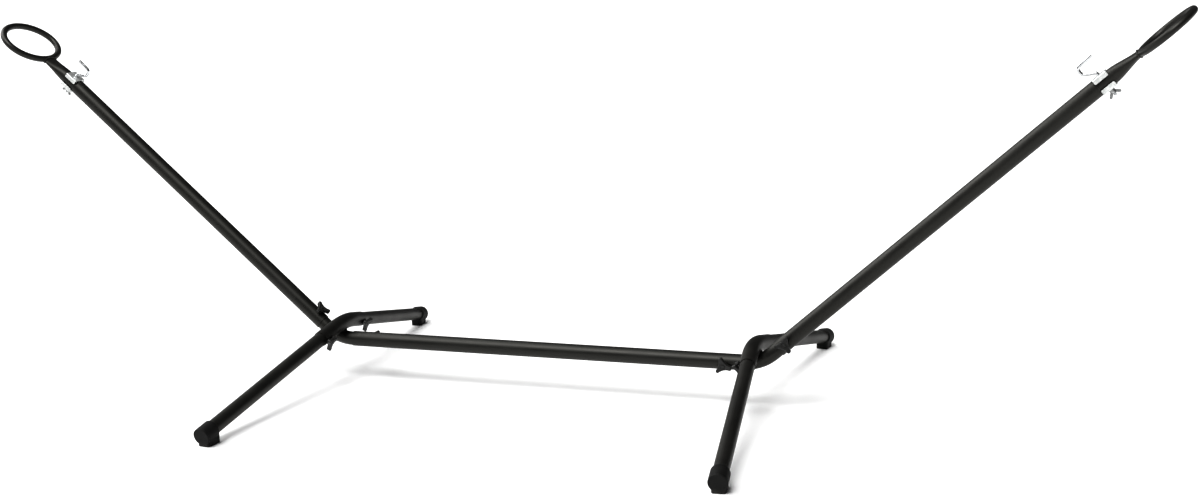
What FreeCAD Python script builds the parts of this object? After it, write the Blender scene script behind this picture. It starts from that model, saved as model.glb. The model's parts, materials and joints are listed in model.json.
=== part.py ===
import FreeCAD, Part
import math
import os

from FreeCAD import Vector

# Knock-down steel hammock stand, in millimetres. X runs along the spine, Y across it and Z up.
# The origin is on the ground, midway between the four feet. One straight spine tube takes a bent
# elbow tube in each end. Each elbow carries a bent cross tube with two legs, and one long arm.
# The arm's top takes an insert with a carrying ring, and the hook bolt that the hammock hangs on.

# Two tube sizes that slide in each other
OUTER_TUBE_OD = 42.0
OUTER_TUBE_WALL = 1.5
INNER_TUBE_WALL = 1.5
TELESCOPE_GAP = 0.3

# Spine, elbows and arms
SPINE_LENGTH = 1128.0
ARM_LENGTH = 1012.0
ARM_ANGLE = 41.5
ELBOW_BEND_RADIUS = 120.0
ELBOW_IN_SPINE = 120.0
ELBOW_IN_ARM = 140.0
BARE_ELBOW_AT_SPINE = 3.0
BARE_ELBOW_AT_ARM = 19.0

# Cross tubes and legs
CROSS_BEND_RADIUS = 240.0
CROSS_STRAIGHT = 57.0
LEG_SLOPE = 14.3
LEG_LEAN = 26.0
LEG_LENGTH = 578.0
LEG_ENGAGEMENT = 52.0
CROSS_COPE = 0.6
CROSS_WELD_HALF_LENGTH = 12.5
CROSS_WELD_HALF_WIDTH = 11.5
WELD_RADIUS = 3.5

# Foot caps, pushed on the leg ends
CAP_WALL = 4.3
CAP_DEPTH = 40.0
CAP_END = 4.5
CAP_ROUNDING = 3.0
CAP_GROOVE_DEPTH = 0.8
CAP_GROOVE_WIDTH = 1.4
CAP_GROOVE_FROM_END = 5.0
PAD_LENGTH = 47.0
PAD_WIDTH = 34.0
PAD_CORNER_RADIUS = 6.0
PAD_SETBACK = 1.5
PAD_BELOW_CAP = 3.3

# Clamping knobs: a stud moulded in a three-lobed head, in a nut welded on the outer tube
STUD_DIAMETER = 8.0
STUD_NUT_GAP = 0.05
STUD_WALL_GAP = 0.3
STUD_TIP_GAP = 0.3
STUD_CHAMFER = 0.8
STUD_IN_HEAD = 4.5
NUT_DIAMETER = 15.0
NUT_HEIGHT = 5.0
HEAD_STANDOFF = 3.0
HEAD_THICKNESS = 12.0
HEAD_LOBE_CENTRE = 19.5
HEAD_LOBE_RADIUS = 4.8
HEAD_WAIST_RADIUS = 11.5
HEAD_ROUNDING = 2.0
HEAD_DISH_DEPTH = 3.5
HEAD_NUT_GAP = 1.5
SPINE_KNOB_INSET = 45.0
SPINE_KNOB_TILT = 10.0
REAR_LOBE_TURN = 48.0
FRONT_LOBE_TURN = 14.0
ARM_KNOB_INSET = 26.0
LEG_KNOB_INSET = 10.0
LEG_KNOB_TILT = 26.0

# Inserts and carrying rings
INSERT_ENGAGEMENT = 300.0
NECK_LENGTH = 84.0
NECK_END_WIDTH = 48.0
NECK_END_THICKNESS = 17.0
RING_HALF_LENGTH = 72.0
RING_HALF_WIDTH = 93.0
RING_ROD = 18.0
RING_WELD_SETBACK = 8.0
RING_WELD_RADIUS = 2.6

# Hook bolt with its two saddles, washer and wing nut
SADDLE_LENGTH = 37.0
SADDLE_SHEET = 2.5
SADDLE_FLANGE = 10.0
SADDLE_SIDE_GAP = 0.2
HOOK_ROD = 8.0
HOOK_HOLE_GAP = 0.3
HOOK_LIFT = 7.0
HOOK_REACH = 27.0
HOOK_BACK_RISE = 24.0
HOOK_MOUTH = 19.5
HOOK_TIP = 17.0
HOOK_TIP_RISE = 2.0
HOOK_ROOT_BEND = 7.0
HOOK_BACK_BENDS = 11.0
WASHER_DIAMETER = 18.0
WASHER_THICKNESS = 1.6
WING_NUT_BASE = 15.0
WING_NUT_NECK = 11.0
WING_NUT_HEIGHT = 9.0
WING_SPREAD = 16.0
WING_RISE = 17.0
WING_WIDTH = 7.0
WING_THICKNESS = 3.4
HOOK_STUB = 7.0

# Values that follow from the driving sizes
INNER_TUBE_OD = OUTER_TUBE_OD - 2 * (OUTER_TUBE_WALL + TELESCOPE_GAP)
OUTER_RADIUS = OUTER_TUBE_OD / 2
INNER_RADIUS = INNER_TUBE_OD / 2
ARM_TILT = math.radians(ARM_ANGLE)
LEAN = math.radians(LEG_LEAN)
SLOPE = math.radians(LEG_SLOPE)
ELBOW_TANGENT = ELBOW_BEND_RADIUS * math.tan(ARM_TILT / 2)
ELBOW_RISE = ELBOW_BEND_RADIUS * (1 / math.cos(ARM_TILT / 2) - 1)
CROSS_TANGENT = CROSS_BEND_RADIUS * math.tan(SLOPE)
CROSS_RISE = CROSS_BEND_RADIUS * (1 / math.cos(SLOPE) - 1)
CROSS_ARM = CROSS_TANGENT + CROSS_STRAIGHT
LEG_START = CROSS_ARM - LEG_ENGAGEMENT
LEG_END = LEG_START + LEG_LENGTH
LEG_DROP = math.asin(math.sin(SLOPE) * math.cos(LEAN))
CAP_RADIUS = INNER_RADIUS + CAP_WALL
FOOT_AXIS_HEIGHT = PAD_BELOW_CAP + CAP_RADIUS * math.cos(LEG_DROP) + CAP_END * math.sin(LEG_DROP)
VERTEX_HEIGHT = FOOT_AXIS_HEIGHT + LEG_END * math.sin(LEG_DROP)
WELD_SPACING = INNER_RADIUS + OUTER_RADIUS - CROSS_COPE
VERTEX_OFFSET = WELD_SPACING + ELBOW_RISE + CROSS_RISE * math.cos(LEAN - ARM_TILT / 2)
SPINE_HEIGHT = VERTEX_HEIGHT - VERTEX_OFFSET * math.cos(ARM_TILT / 2)
CORNER_X = SPINE_LENGTH / 2 + BARE_ELBOW_AT_SPINE + ELBOW_TANGENT
ARM_START = ELBOW_TANGENT + BARE_ELBOW_AT_ARM
ARM_TOP = ARM_START + ARM_LENGTH
NECK_START = ARM_TOP + SADDLE_LENGTH
RING_NEAR = NECK_START + NECK_LENGTH
HOOK_STATION = ARM_TOP + SADDLE_LENGTH / 2
SADDLE_OUTSIDE = INNER_RADIUS + SADDLE_SHEET
WASHER_OUTSIDE = SADDLE_OUTSIDE + WASHER_THICKNESS
HEAD_BOTTOM = OUTER_RADIUS + HEAD_STANDOFF
HEAD_TOP = HEAD_BOTTOM + HEAD_THICKNESS
RECESS_TOP = OUTER_RADIUS + NUT_HEIGHT + HEAD_NUT_GAP

SIDES = {"left": -1, "right": 1}
ENDS = {"front": -1, "rear": 1}
ACROSS = Vector(0, 1, 0)


def frame_at(origin, axis, radial):
    """Placement whose local Z runs along axis and whose local X points to radial's side."""
    z = Vector(axis).normalize()
    x = (radial - z * radial.dot(z)).normalize()
    y = z.cross(x)
    rotation = FreeCAD.Rotation(x, y, z, "ZXY")
    return FreeCAD.Placement(origin, rotation)


def placed(shape, frame):
    """Copy of a shape moved from its own frame to the stand's."""
    return shape.transformed(frame.toMatrix(), True)


def rod(radius, low, high):
    """Round bar along local Z from low to high."""
    return Part.makeCylinder(radius, high - low, Vector(0, 0, low))


def bar_between(radius, start, end):
    """Round bar between two points of the stand."""
    return Part.makeCylinder(radius, (end - start).Length, start, end - start)


def pipe(od, wall, low, high):
    """Straight tube along local Z."""
    return rod(od / 2, low, high).cut(rod(od / 2 - wall, low, high))


def rounded_path(points, radii):
    """Wire through the points, with its inner corners rounded by the radii in turn."""
    edges = []
    start = points[0]
    for before, corner, after, radius in zip(points, points[1:], points[2:], radii):
        back = (before - corner).normalize()
        ahead = (after - corner).normalize()
        half_angle = back.getAngle(ahead) / 2
        tangent = radius / math.tan(half_angle)
        middle = (back + ahead).normalize() * (radius / math.sin(half_angle) - radius)
        arc_start = corner + back * tangent
        arc_end = corner + ahead * tangent
        edges.append(Part.makeLine(start, arc_start))
        edges.append(Part.Arc(arc_start, corner + middle, arc_end).toShape())
        start = arc_end
    edges.append(Part.makeLine(start, points[-1]))
    return Part.Wire(edges)


def bent_rod(points, radii, radius):
    """Round bar bent along a rounded path."""
    section = Part.Wire(Part.makeCircle(radius, points[0], points[1] - points[0]))
    return rounded_path(points, radii).makePipeShell([section], True, False)


def bent_tube(points, bend_radius, od, wall):
    """Tube bent once."""
    outside = bent_rod(points, [bend_radius], od / 2)
    inside = bent_rod(points, [bend_radius], od / 2 - wall)
    return outside.cut(inside)


def revolved(outline):
    """Solid turned about local Z from (radius, height) points."""
    points = [Vector(radius, 0, height) for radius, height in outline]
    face = Part.Face(Part.makePolygon(points + points[:1]))
    return face.revolve(Vector(0, 0, 0), Vector(0, 0, 1), 360)


def oval_wire(half_x, half_y, height):
    """Ellipse about local Z; its longer half axis may be along either X or Y."""
    centre = Vector(0, 0, height)
    if half_x >= half_y:
        return Part.Wire(Part.Ellipse(centre + Vector(half_x, 0, 0),
                                      centre + Vector(0, half_y, 0), centre).toShape())
    return Part.Wire(Part.Ellipse(centre + Vector(0, half_y, 0),
                                  centre - Vector(half_x, 0, 0), centre).toShape())


def oval_bead(half_x, half_y, height, radius):
    """Bead of round section that runs round an ellipse about local Z."""
    start = Vector(half_x, 0, height)
    heading = Vector(0, 1, 0)
    section = Part.Wire(Part.makeCircle(radius, start, heading))
    return oval_wire(half_x, half_y, height).makePipeShell([section], True, False)


def corner_point(side):
    """Where the spine's centre line meets the arm's."""
    return Vector(side * CORNER_X, 0, SPINE_HEIGHT)


def arm_axis(side):
    return Vector(side * math.cos(ARM_TILT), 0, math.sin(ARM_TILT))


def arm_normal(side):
    """Square to the arm, up and towards the middle of the stand."""
    return Vector(-side * math.sin(ARM_TILT), 0, math.cos(ARM_TILT))


def arm_frame(side):
    """Arm frame: Z up the arm from the corner, X on its inner top side."""
    return frame_at(corner_point(side), arm_axis(side), arm_normal(side))


def bisector(side):
    """Direction from the corner to the inside of the elbow's bend."""
    return Vector(-side * math.sin(ARM_TILT / 2), 0, math.cos(ARM_TILT / 2))


def cross_vertex(side):
    """Where the centre lines of the two legs meet above the elbow."""
    return corner_point(side) + bisector(side) * VERTEX_OFFSET


def leg_axis(side, end):
    """Direction from the vertex down one leg."""
    lean_down = Vector(side * math.sin(LEAN), 0, -math.cos(LEAN))
    return ACROSS * (end * math.cos(SLOPE)) + lean_down * math.sin(SLOPE)


def leg_knob_direction(side, end):
    """Square to the leg, towards the spine and a little down."""
    axis = leg_axis(side, end)
    inward = Vector(-side, 0, 0)
    inward = (inward - axis * inward.dot(axis)).normalize()
    down = axis.cross(inward)
    if down.z > 0:
        down = down * -1
    tilt = math.radians(LEG_KNOB_TILT)
    return inward * math.cos(tilt) + down * math.sin(tilt)


def spine_knob_frame(side):
    """Rear side at the left end; front side and a little down at the right end."""
    place = Vector(side * (SPINE_LENGTH / 2 - SPINE_KNOB_INSET), 0, SPINE_HEIGHT)
    if side < 0:
        turn = math.radians(REAR_LOBE_TURN)
        return frame_at(place, ACROSS, Vector(math.sin(turn), 0, math.cos(turn)))
    tilt = math.radians(SPINE_KNOB_TILT)
    turn = math.radians(FRONT_LOBE_TURN)
    outward = Vector(0, -math.cos(tilt), -math.sin(tilt))
    return frame_at(place, outward, Vector(-math.sin(turn), 0, math.cos(turn)))


def arm_knob_frame(side):
    """Inner top side on the left arm, front side on the right arm."""
    place = corner_point(side) + arm_axis(side) * (ARM_START + ARM_KNOB_INSET)
    if side < 0:
        return frame_at(place, arm_normal(side), ACROSS * -1)
    return frame_at(place, ACROSS * -1, arm_normal(side) * -1)


def leg_knob_frame(side, end):
    place = cross_vertex(side) + leg_axis(side, end) * (CROSS_ARM - LEG_KNOB_INSET)
    return frame_at(place, leg_knob_direction(side, end), Vector(0, 0, -1))


def stud_passage(frame):
    """What the clamping stud leaves open in a tube wall."""
    return placed(rod(STUD_DIAMETER / 2 + STUD_WALL_GAP, 0, OUTER_TUBE_OD), frame)


def weld_nut(frame, tube_axis):
    """Round nut, its foot shaped to the outer tube that it is welded on."""
    bore = rod(STUD_DIAMETER / 2 + STUD_NUT_GAP, 0, OUTER_TUBE_OD)
    nut = placed(rod(NUT_DIAMETER / 2, 0, OUTER_RADIUS + NUT_HEIGHT).cut(bore), frame)
    start = frame.Base - tube_axis * NUT_DIAMETER
    end = frame.Base + tube_axis * NUT_DIAMETER
    return nut.cut(bar_between(OUTER_RADIUS, start, end))


def knob_stud():
    """Threaded stud that is moulded in the knob's head and clamps the inner tube."""
    tip = INNER_RADIUS + STUD_TIP_GAP
    top = RECESS_TOP + STUD_IN_HEAD
    radius = STUD_DIAMETER / 2
    outline = [(0, tip), (radius - STUD_CHAMFER, tip), (radius, tip + STUD_CHAMFER),
               (radius, top), (0, top)]
    return revolved(outline)


def lobe_outline():
    """Closed outline of three round lobes joined by hollow flanks."""
    step = HEAD_LOBE_RADIUS - HEAD_WAIST_RADIUS
    flank_centre = (HEAD_LOBE_CENTRE ** 2 - step ** 2) / (HEAD_LOBE_CENTRE + 2 * step)
    share = HEAD_LOBE_RADIUS / (HEAD_LOBE_RADIUS + flank_centre - HEAD_WAIST_RADIUS)
    edges = []
    for turn in (0, 120, 240):
        lobe = polar(HEAD_LOBE_CENTRE, turn)
        meet_before = lobe + (polar(flank_centre, turn - 60) - lobe) * share
        meet_after = lobe + (polar(flank_centre, turn + 60) - lobe) * share
        next_lobe = polar(HEAD_LOBE_CENTRE, turn + 120)
        meet_next = next_lobe + (polar(flank_centre, turn + 60) - next_lobe) * share
        lobe_tip = polar(HEAD_LOBE_CENTRE + HEAD_LOBE_RADIUS, turn)
        waist = polar(HEAD_WAIST_RADIUS, turn + 60)
        edges.append(Part.Arc(meet_before, lobe_tip, meet_after).toShape())
        edges.append(Part.Arc(meet_after, waist, meet_next).toShape())
    return Part.Wire(edges)


def polar(radius, degrees):
    return Vector(radius * math.cos(math.radians(degrees)), radius * math.sin(math.radians(degrees)), 0)


def knob_head():
    """Moulded head: dished on top, hollow underneath to clear the weld nut."""
    outline = lobe_outline()
    outline.translate(Vector(0, 0, HEAD_BOTTOM))
    head = Part.Face(outline).extrude(Vector(0, 0, HEAD_THICKNESS))
    rims = [edge for edge in head.Edges if abs(edge.BoundBox.ZMax - edge.BoundBox.ZMin) < 0.01]
    head = head.makeFillet(HEAD_ROUNDING, rims)
    reach = HEAD_LOBE_CENTRE
    dish_radius = (reach ** 2 + HEAD_DISH_DEPTH ** 2) / (2 * HEAD_DISH_DEPTH)
    dish = Part.makeSphere(dish_radius, Vector(0, 0, HEAD_TOP - HEAD_DISH_DEPTH + dish_radius))
    recess = rod(NUT_DIAMETER / 2 + HEAD_NUT_GAP, HEAD_BOTTOM - 1, RECESS_TOP)
    return head.cut(dish).cut(recess).cut(knob_stud())


def spine_tube():
    half = SPINE_LENGTH / 2
    tube = pipe(OUTER_TUBE_OD, OUTER_TUBE_WALL, -half, half)
    tube = placed(tube, frame_at(Vector(0, 0, SPINE_HEIGHT), Vector(1, 0, 0), Vector(0, 0, 1)))
    for side in SIDES.values():
        tube = tube.cut(stud_passage(spine_knob_frame(side)))
    return tube


def elbow_points(side):
    corner = corner_point(side)
    inboard = CORNER_X - SPINE_LENGTH / 2 + ELBOW_IN_SPINE
    return [corner - Vector(side, 0, 0) * inboard, corner,
            corner + arm_axis(side) * (ARM_START + ELBOW_IN_ARM)]


def elbow(side):
    return bent_tube(elbow_points(side), ELBOW_BEND_RADIUS, INNER_TUBE_OD, INNER_TUBE_WALL)


def elbow_outside(side):
    return bent_rod(elbow_points(side), [ELBOW_BEND_RADIUS], INNER_RADIUS)


def cross_points(side):
    vertex = cross_vertex(side)
    return [vertex + leg_axis(side, -1) * CROSS_ARM, vertex, vertex + leg_axis(side, 1) * CROSS_ARM]


def cross_tube(side):
    """Bent tube welded across the elbow, its underside coped to sit on it."""
    tube = bent_tube(cross_points(side), CROSS_BEND_RADIUS, OUTER_TUBE_OD, OUTER_TUBE_WALL)
    for end in ENDS.values():
        tube = tube.cut(stud_passage(leg_knob_frame(side, end)))
    return tube.cut(elbow_outside(side))


def cross_weld(side):
    """Bead round the seat of the cross tube on the elbow."""
    seat = corner_point(side) + bisector(side) * (ELBOW_RISE + INNER_RADIUS)
    along = Vector(side * math.cos(ARM_TILT / 2), 0, math.sin(ARM_TILT / 2))
    bead = oval_bead(CROSS_WELD_HALF_LENGTH, CROSS_WELD_HALF_WIDTH, 0, WELD_RADIUS)
    bead = placed(bead, frame_at(seat, bisector(side), along))
    cross_outside = bent_rod(cross_points(side), [CROSS_BEND_RADIUS], OUTER_RADIUS)
    return bead.cut(elbow_outside(side)).cut(cross_outside)


def cross_nuts(side):
    nuts = [weld_nut(leg_knob_frame(side, end), leg_axis(side, end)) for end in ENDS.values()]
    return Part.makeCompound(nuts)


def leg_frame(side, end, distance):
    """Leg frame: Z down the leg from a distance below the vertex, X on its upper side."""
    return frame_at(cross_vertex(side) + leg_axis(side, end) * distance, leg_axis(side, end), Vector(0, 0, 1))


def leg(side, end):
    tube = pipe(INNER_TUBE_OD, INNER_TUBE_WALL, 0, LEG_LENGTH)
    return placed(tube, leg_frame(side, end, LEG_START))


def foot_cap(side, end):
    """Closed sleeve with a flat-bottomed pad under it."""
    groove_top = CAP_END - CAP_GROOVE_FROM_END
    outline = [(0, -CAP_DEPTH), (CAP_RADIUS - CAP_ROUNDING / 2, -CAP_DEPTH),
               (CAP_RADIUS, -CAP_DEPTH + CAP_ROUNDING / 2),
               (CAP_RADIUS, groove_top - CAP_GROOVE_WIDTH),
               (CAP_RADIUS - CAP_GROOVE_DEPTH, groove_top - CAP_GROOVE_WIDTH / 2),
               (CAP_RADIUS, groove_top), (CAP_RADIUS, CAP_END - CAP_ROUNDING),
               (CAP_RADIUS - CAP_ROUNDING, CAP_END), (0, CAP_END)]
    frame = leg_frame(side, end, LEG_END)
    sleeve = placed(revolved(outline), frame)
    leg_space = placed(rod(INNER_RADIUS, -PAD_LENGTH - OUTER_TUBE_OD, 0), frame)
    return sleeve.fuse(foot_pad(side, end)).cut(leg_space).removeSplitter()


def foot_pad(side, end):
    """Block under the cap, upright corners rounded, from the ground up to the leg's centre line."""
    half_width = PAD_WIDTH / 2
    back = -PAD_SETBACK - PAD_LENGTH
    block = Part.makeBox(PAD_LENGTH, PAD_WIDTH, FOOT_AXIS_HEIGHT, Vector(back, -half_width, 0))
    uprights = [edge for edge in block.Edges if edge.BoundBox.ZLength > FOOT_AXIS_HEIGHT / 2]
    block = block.makeFillet(PAD_CORNER_RADIUS, uprights)
    axis = leg_axis(side, end)
    foot = cross_vertex(side) + axis * LEG_END
    turn = math.degrees(math.atan2(axis.y, axis.x))
    block.rotate(Vector(0, 0, 0), Vector(0, 0, 1), turn)
    block.translate(Vector(foot.x, foot.y, 0))
    return block


def arm_tube(side):
    tube = pipe(OUTER_TUBE_OD, OUTER_TUBE_WALL, ARM_START, ARM_TOP)
    return placed(tube, arm_frame(side)).cut(stud_passage(arm_knob_frame(side)))


def ring_wire():
    """Ring's centre line in the arm frame: long half axis across, short one up the arm."""
    centre = Vector(0, 0, RING_NEAR + RING_HALF_LENGTH)
    tip = centre + Vector(0, RING_HALF_WIDTH, 0)
    side_point = centre - Vector(0, 0, RING_HALF_LENGTH)
    return Part.Wire(Part.Ellipse(tip, side_point, centre).toShape())


def ring_local():
    start = Vector(0, RING_HALF_WIDTH, RING_NEAR + RING_HALF_LENGTH)
    section = Part.Wire(Part.makeCircle(RING_ROD / 2, start, Vector(0, 0, 1)))
    return ring_wire().makePipeShell([section], True, False)


def neck_solid(inset):
    """Round tube end pressed to a flat oval; inset is how far inside the outer skin it runs."""
    steps = 5
    sections = []
    for index in range(steps + 1):
        share = index / steps
        ease = share * share * (3 - 2 * share)
        half_thickness = INNER_RADIUS + (NECK_END_THICKNESS / 2 - INNER_RADIUS) * ease - inset
        half_width = INNER_RADIUS + (NECK_END_WIDTH / 2 - INNER_RADIUS) * ease - inset
        sections.append(oval_wire(half_thickness, half_width, NECK_START + NECK_LENGTH * share))
    return Part.makeLoft(sections, True, False)


def insert_tube(side):
    """Sliding insert: round tube with cross holes for the hook, its end flattened to the ring."""
    low = ARM_TOP - INSERT_ENGAGEMENT
    outside = rod(INNER_RADIUS, low, NECK_START).fuse(neck_solid(0))
    inside = rod(INNER_RADIUS - INNER_TUBE_WALL, low, NECK_START).fuse(neck_solid(INNER_TUBE_WALL))
    tube = outside.cut(inside).cut(hook_passage()).cut(ring_local())
    return placed(tube, arm_frame(side))


def ring(side):
    return placed(ring_local(), arm_frame(side))


def ring_weld(side):
    """Bead round the neck where it meets the ring."""
    bead = oval_bead(NECK_END_THICKNESS / 2, NECK_END_WIDTH / 2, RING_NEAR - RING_WELD_SETBACK,
                     RING_WELD_RADIUS)
    bead = bead.cut(neck_solid(0)).cut(ring_local())
    return placed(bead, arm_frame(side))


def hook_passage():
    """Cross hole for the hook's shank, square to the arm."""
    reach = OUTER_TUBE_OD
    start = Vector(-reach, 0, HOOK_STATION)
    end = Vector(reach, 0, HOOK_STATION)
    return bar_between(HOOK_ROD / 2 + HOOK_HOLE_GAP, start, end)


def saddle(side, facing):
    """Channel of bent sheet astride the insert; facing is 1 on top and -1 underneath."""
    half_outside = INNER_RADIUS + SADDLE_SIDE_GAP + SADDLE_SHEET
    half_inside = half_outside - SADDLE_SHEET
    height = SADDLE_SHEET + SADDLE_FLANGE
    block = Part.makeBox(height, 2 * half_outside, SADDLE_LENGTH,
                         Vector(SADDLE_OUTSIDE - height, -half_outside, ARM_TOP))
    folds = [edge for edge in block.Edges
             if edge.BoundBox.ZLength > SADDLE_LENGTH / 2 and edge.BoundBox.XMin > INNER_RADIUS]
    block = block.makeFillet(1.6 * SADDLE_SHEET, folds)
    hollow = Part.makeBox(height, 2 * half_inside, SADDLE_LENGTH,
                          Vector(INNER_RADIUS - height, -half_inside, ARM_TOP))
    channel = block.cut(hollow).cut(hook_passage())
    if facing < 0:
        channel = channel.mirror(Vector(0, 0, 0), Vector(1, 0, 0))
    return placed(channel, arm_frame(side))


def nut_frame(side):
    """Hook axis frame under the arm: Z away from the arm, X up the arm."""
    base = corner_point(side) + arm_axis(side) * HOOK_STATION
    return frame_at(base, arm_normal(side) * -1, arm_axis(side))


def washer(side):
    disc = rod(WASHER_DIAMETER / 2, SADDLE_OUTSIDE, WASHER_OUTSIDE)
    disc = disc.cut(rod(HOOK_ROD / 2 + HOOK_HOLE_GAP, SADDLE_OUTSIDE, WASHER_OUTSIDE))
    return placed(disc, nut_frame(side))


def wing_nut(side):
    """Nut with a tapered body and two upswept wings."""
    top = WASHER_OUTSIDE + WING_NUT_HEIGHT
    body = Part.makeCone(WING_NUT_BASE / 2, WING_NUT_NECK / 2, WING_NUT_HEIGHT,
                         Vector(0, 0, WASHER_OUTSIDE))
    for direction in (-1, 1):
        body = body.fuse(nut_wing(direction))
    bore = rod(HOOK_ROD / 2 + STUD_NUT_GAP, WASHER_OUTSIDE, top + WING_RISE)
    return placed(body.cut(bore), nut_frame(side))


def nut_wing(direction):
    """Flat wing that leans outwards from the nut's body, with a round end."""
    root = Vector(direction * WING_NUT_NECK / 4, 0, WASHER_OUTSIDE + WING_NUT_HEIGHT / 2)
    tip = Vector(direction * (WING_SPREAD - WING_WIDTH / 2), 0, WASHER_OUTSIDE + WING_RISE - WING_WIDTH / 2)
    along = (tip - root).normalize()
    beside = Vector(along.z, 0, -along.x) * (WING_WIDTH / 2)
    outline = [Part.makeLine(root + beside, tip + beside),
               Part.Arc(tip + beside, tip + along * (WING_WIDTH / 2), tip - beside).toShape(),
               Part.makeLine(tip - beside, root - beside),
               Part.makeLine(root - beside, root + beside)]
    wing = Part.Face(Part.Wire(outline)).extrude(Vector(0, WING_THICKNESS, 0))
    wing.translate(Vector(0, -WING_THICKNESS / 2, 0))
    return wing


def hook(side):
    """Bent round bar: shank through the arm, open hook whose mouth faces up the arm."""
    root = SADDLE_OUTSIDE + HOOK_LIFT
    back_low = SADDLE_OUTSIDE + HOOK_BACK_RISE
    back_high = back_low + HOOK_MOUTH
    shank_end = -(WASHER_OUTSIDE + WING_NUT_HEIGHT + HOOK_STUB)
    stations = [(shank_end, 0), (root, 0), (back_low, -HOOK_REACH), (back_high, -HOOK_REACH),
                (back_high + HOOK_TIP_RISE, HOOK_TIP)]
    points = [Vector(height, 0, HOOK_STATION + along) for height, along in stations]
    bends = [HOOK_ROOT_BEND, HOOK_BACK_BENDS, HOOK_BACK_BENDS]
    return placed(bent_rod(points, bends, HOOK_ROD / 2), arm_frame(side))


def knob_nodes(name, frame):
    return {name + "_knob_head": placed(knob_head(), frame), name + "_knob_stud": placed(knob_stud(), frame)}


def spine_nodes():
    nuts = [weld_nut(spine_knob_frame(side), Vector(1, 0, 0)) for side in SIDES.values()]
    nodes = {"spine_tube": spine_tube(), "spine_weld_nuts": Part.makeCompound(nuts)}
    for word, side in SIDES.items():
        nodes.update(knob_nodes("spine_" + word, spine_knob_frame(side)))
    return nodes


def foot_frame_nodes(word, side):
    nodes = {
        word + "_elbow": elbow(side),
        word + "_cross_tube": cross_tube(side),
        word + "_cross_weld": cross_weld(side),
        word + "_cross_weld_nuts": cross_nuts(side),
    }
    for end_word, end in ENDS.items():
        name = word + "_" + end_word
        nodes[name + "_leg"] = leg(side, end)
        nodes[name + "_foot_cap"] = foot_cap(side, end)
        nodes.update(knob_nodes(name + "_leg", leg_knob_frame(side, end)))
    return nodes


def arm_nodes(word, side):
    nodes = {
        word + "_arm_tube": arm_tube(side),
        word + "_arm_weld_nut": weld_nut(arm_knob_frame(side), arm_axis(side)),
        word + "_insert_tube": insert_tube(side),
        word + "_ring": ring(side),
        word + "_ring_weld": ring_weld(side),
        word + "_top_saddle": saddle(side, 1),
        word + "_bottom_saddle": saddle(side, -1),
        word + "_washer": washer(side),
        word + "_hook": hook(side),
        word + "_wing_nut": wing_nut(side),
    }
    nodes.update(knob_nodes(word + "_arm", arm_knob_frame(side)))
    return nodes


def build():
    nodes = spine_nodes()
    for word, side in SIDES.items():
        nodes.update(foot_frame_nodes(word, side))
        nodes.update(arm_nodes(word, side))
    return nodes


os.makedirs("parts", exist_ok=True)
for node_name, shape in build().items():
    shape.exportStep("parts/" + node_name + ".step")
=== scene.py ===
import json
import math

import bmesh
import bpy
from mathutils import Matrix, Vector, noise


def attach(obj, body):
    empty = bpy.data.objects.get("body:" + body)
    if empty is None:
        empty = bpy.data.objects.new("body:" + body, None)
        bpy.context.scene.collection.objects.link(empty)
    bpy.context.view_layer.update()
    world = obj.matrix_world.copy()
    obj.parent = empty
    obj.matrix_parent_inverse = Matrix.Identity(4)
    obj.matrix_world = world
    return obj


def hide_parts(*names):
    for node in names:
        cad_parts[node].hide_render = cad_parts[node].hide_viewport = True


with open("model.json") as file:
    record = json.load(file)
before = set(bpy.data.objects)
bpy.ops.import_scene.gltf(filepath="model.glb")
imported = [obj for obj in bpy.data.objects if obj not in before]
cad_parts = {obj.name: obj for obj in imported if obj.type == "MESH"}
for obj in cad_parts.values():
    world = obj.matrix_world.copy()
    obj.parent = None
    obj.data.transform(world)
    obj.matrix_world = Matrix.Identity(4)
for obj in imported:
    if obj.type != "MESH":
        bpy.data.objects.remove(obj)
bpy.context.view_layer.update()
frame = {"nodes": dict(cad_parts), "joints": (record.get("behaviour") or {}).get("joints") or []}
nodes = frame["nodes"]
joints = {joint["name"]: joint for joint in frame["joints"]}
mm = 0.001

# ---------------------------------------------------------------------------------------------
# Studio. A wide pale floor under two broad soft lights, one high on the camera's side and one from
# the left, a weak even room light, and a camera a little above the stand's height, in front of its
# right-hand half.
floor_half = 60.0
floor_drop = 0.5 * mm
floor_colour = (0.95, 0.95, 0.945, 1.0)
floor_cloud = (0.93, 0.93, 0.93, 1.0)
key_strength = 2.3
key_spread = math.radians(34.0)
key_heading = Vector((0.10, 0.50, -0.86))
fill_strength = 1.7
fill_spread = math.radians(50.0)
fill_heading = Vector((0.78, -0.10, -0.62))
sky_low = (0.80, 0.80, 0.81, 1.0)
sky_high = (1.0, 1.0, 1.0, 1.0)
sky_strength = 0.12
camera_place = Vector((1.503, -3.705, 1.236))
camera_yaw = -0.3421
camera_pitch = 0.2084
camera_roll = -0.0353
camera_lens = 45.8
camera_sensor = 36.0


def plug(tree, node, name, value):
    """Sets a socket to a plain value, or links another node's output to it."""
    if isinstance(value, bpy.types.NodeSocket):
        tree.links.new(value, node.inputs[name])
    else:
        node.inputs[name].default_value = value


def add(tree, kind, inputs=None, **settings):
    """Adds a node with its settings and its inputs, by name or by number."""
    node = tree.nodes.new(kind)
    for setting, value in settings.items():
        setattr(node, setting, value)
    for name, value in (inputs or {}).items():
        plug(tree, node, name, value)
    return node


def blank_material(name):
    material = bpy.data.materials.new(name)
    material.use_nodes = True
    material.node_tree.nodes.clear()
    return material


def surface(tree, shader_inputs):
    """Ends a material's tree with its shader."""
    shader = add(tree, "ShaderNodeBsdfPrincipled", shader_inputs)
    add(tree, "ShaderNodeOutputMaterial", {"Surface": shader.outputs["BSDF"]})


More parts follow.
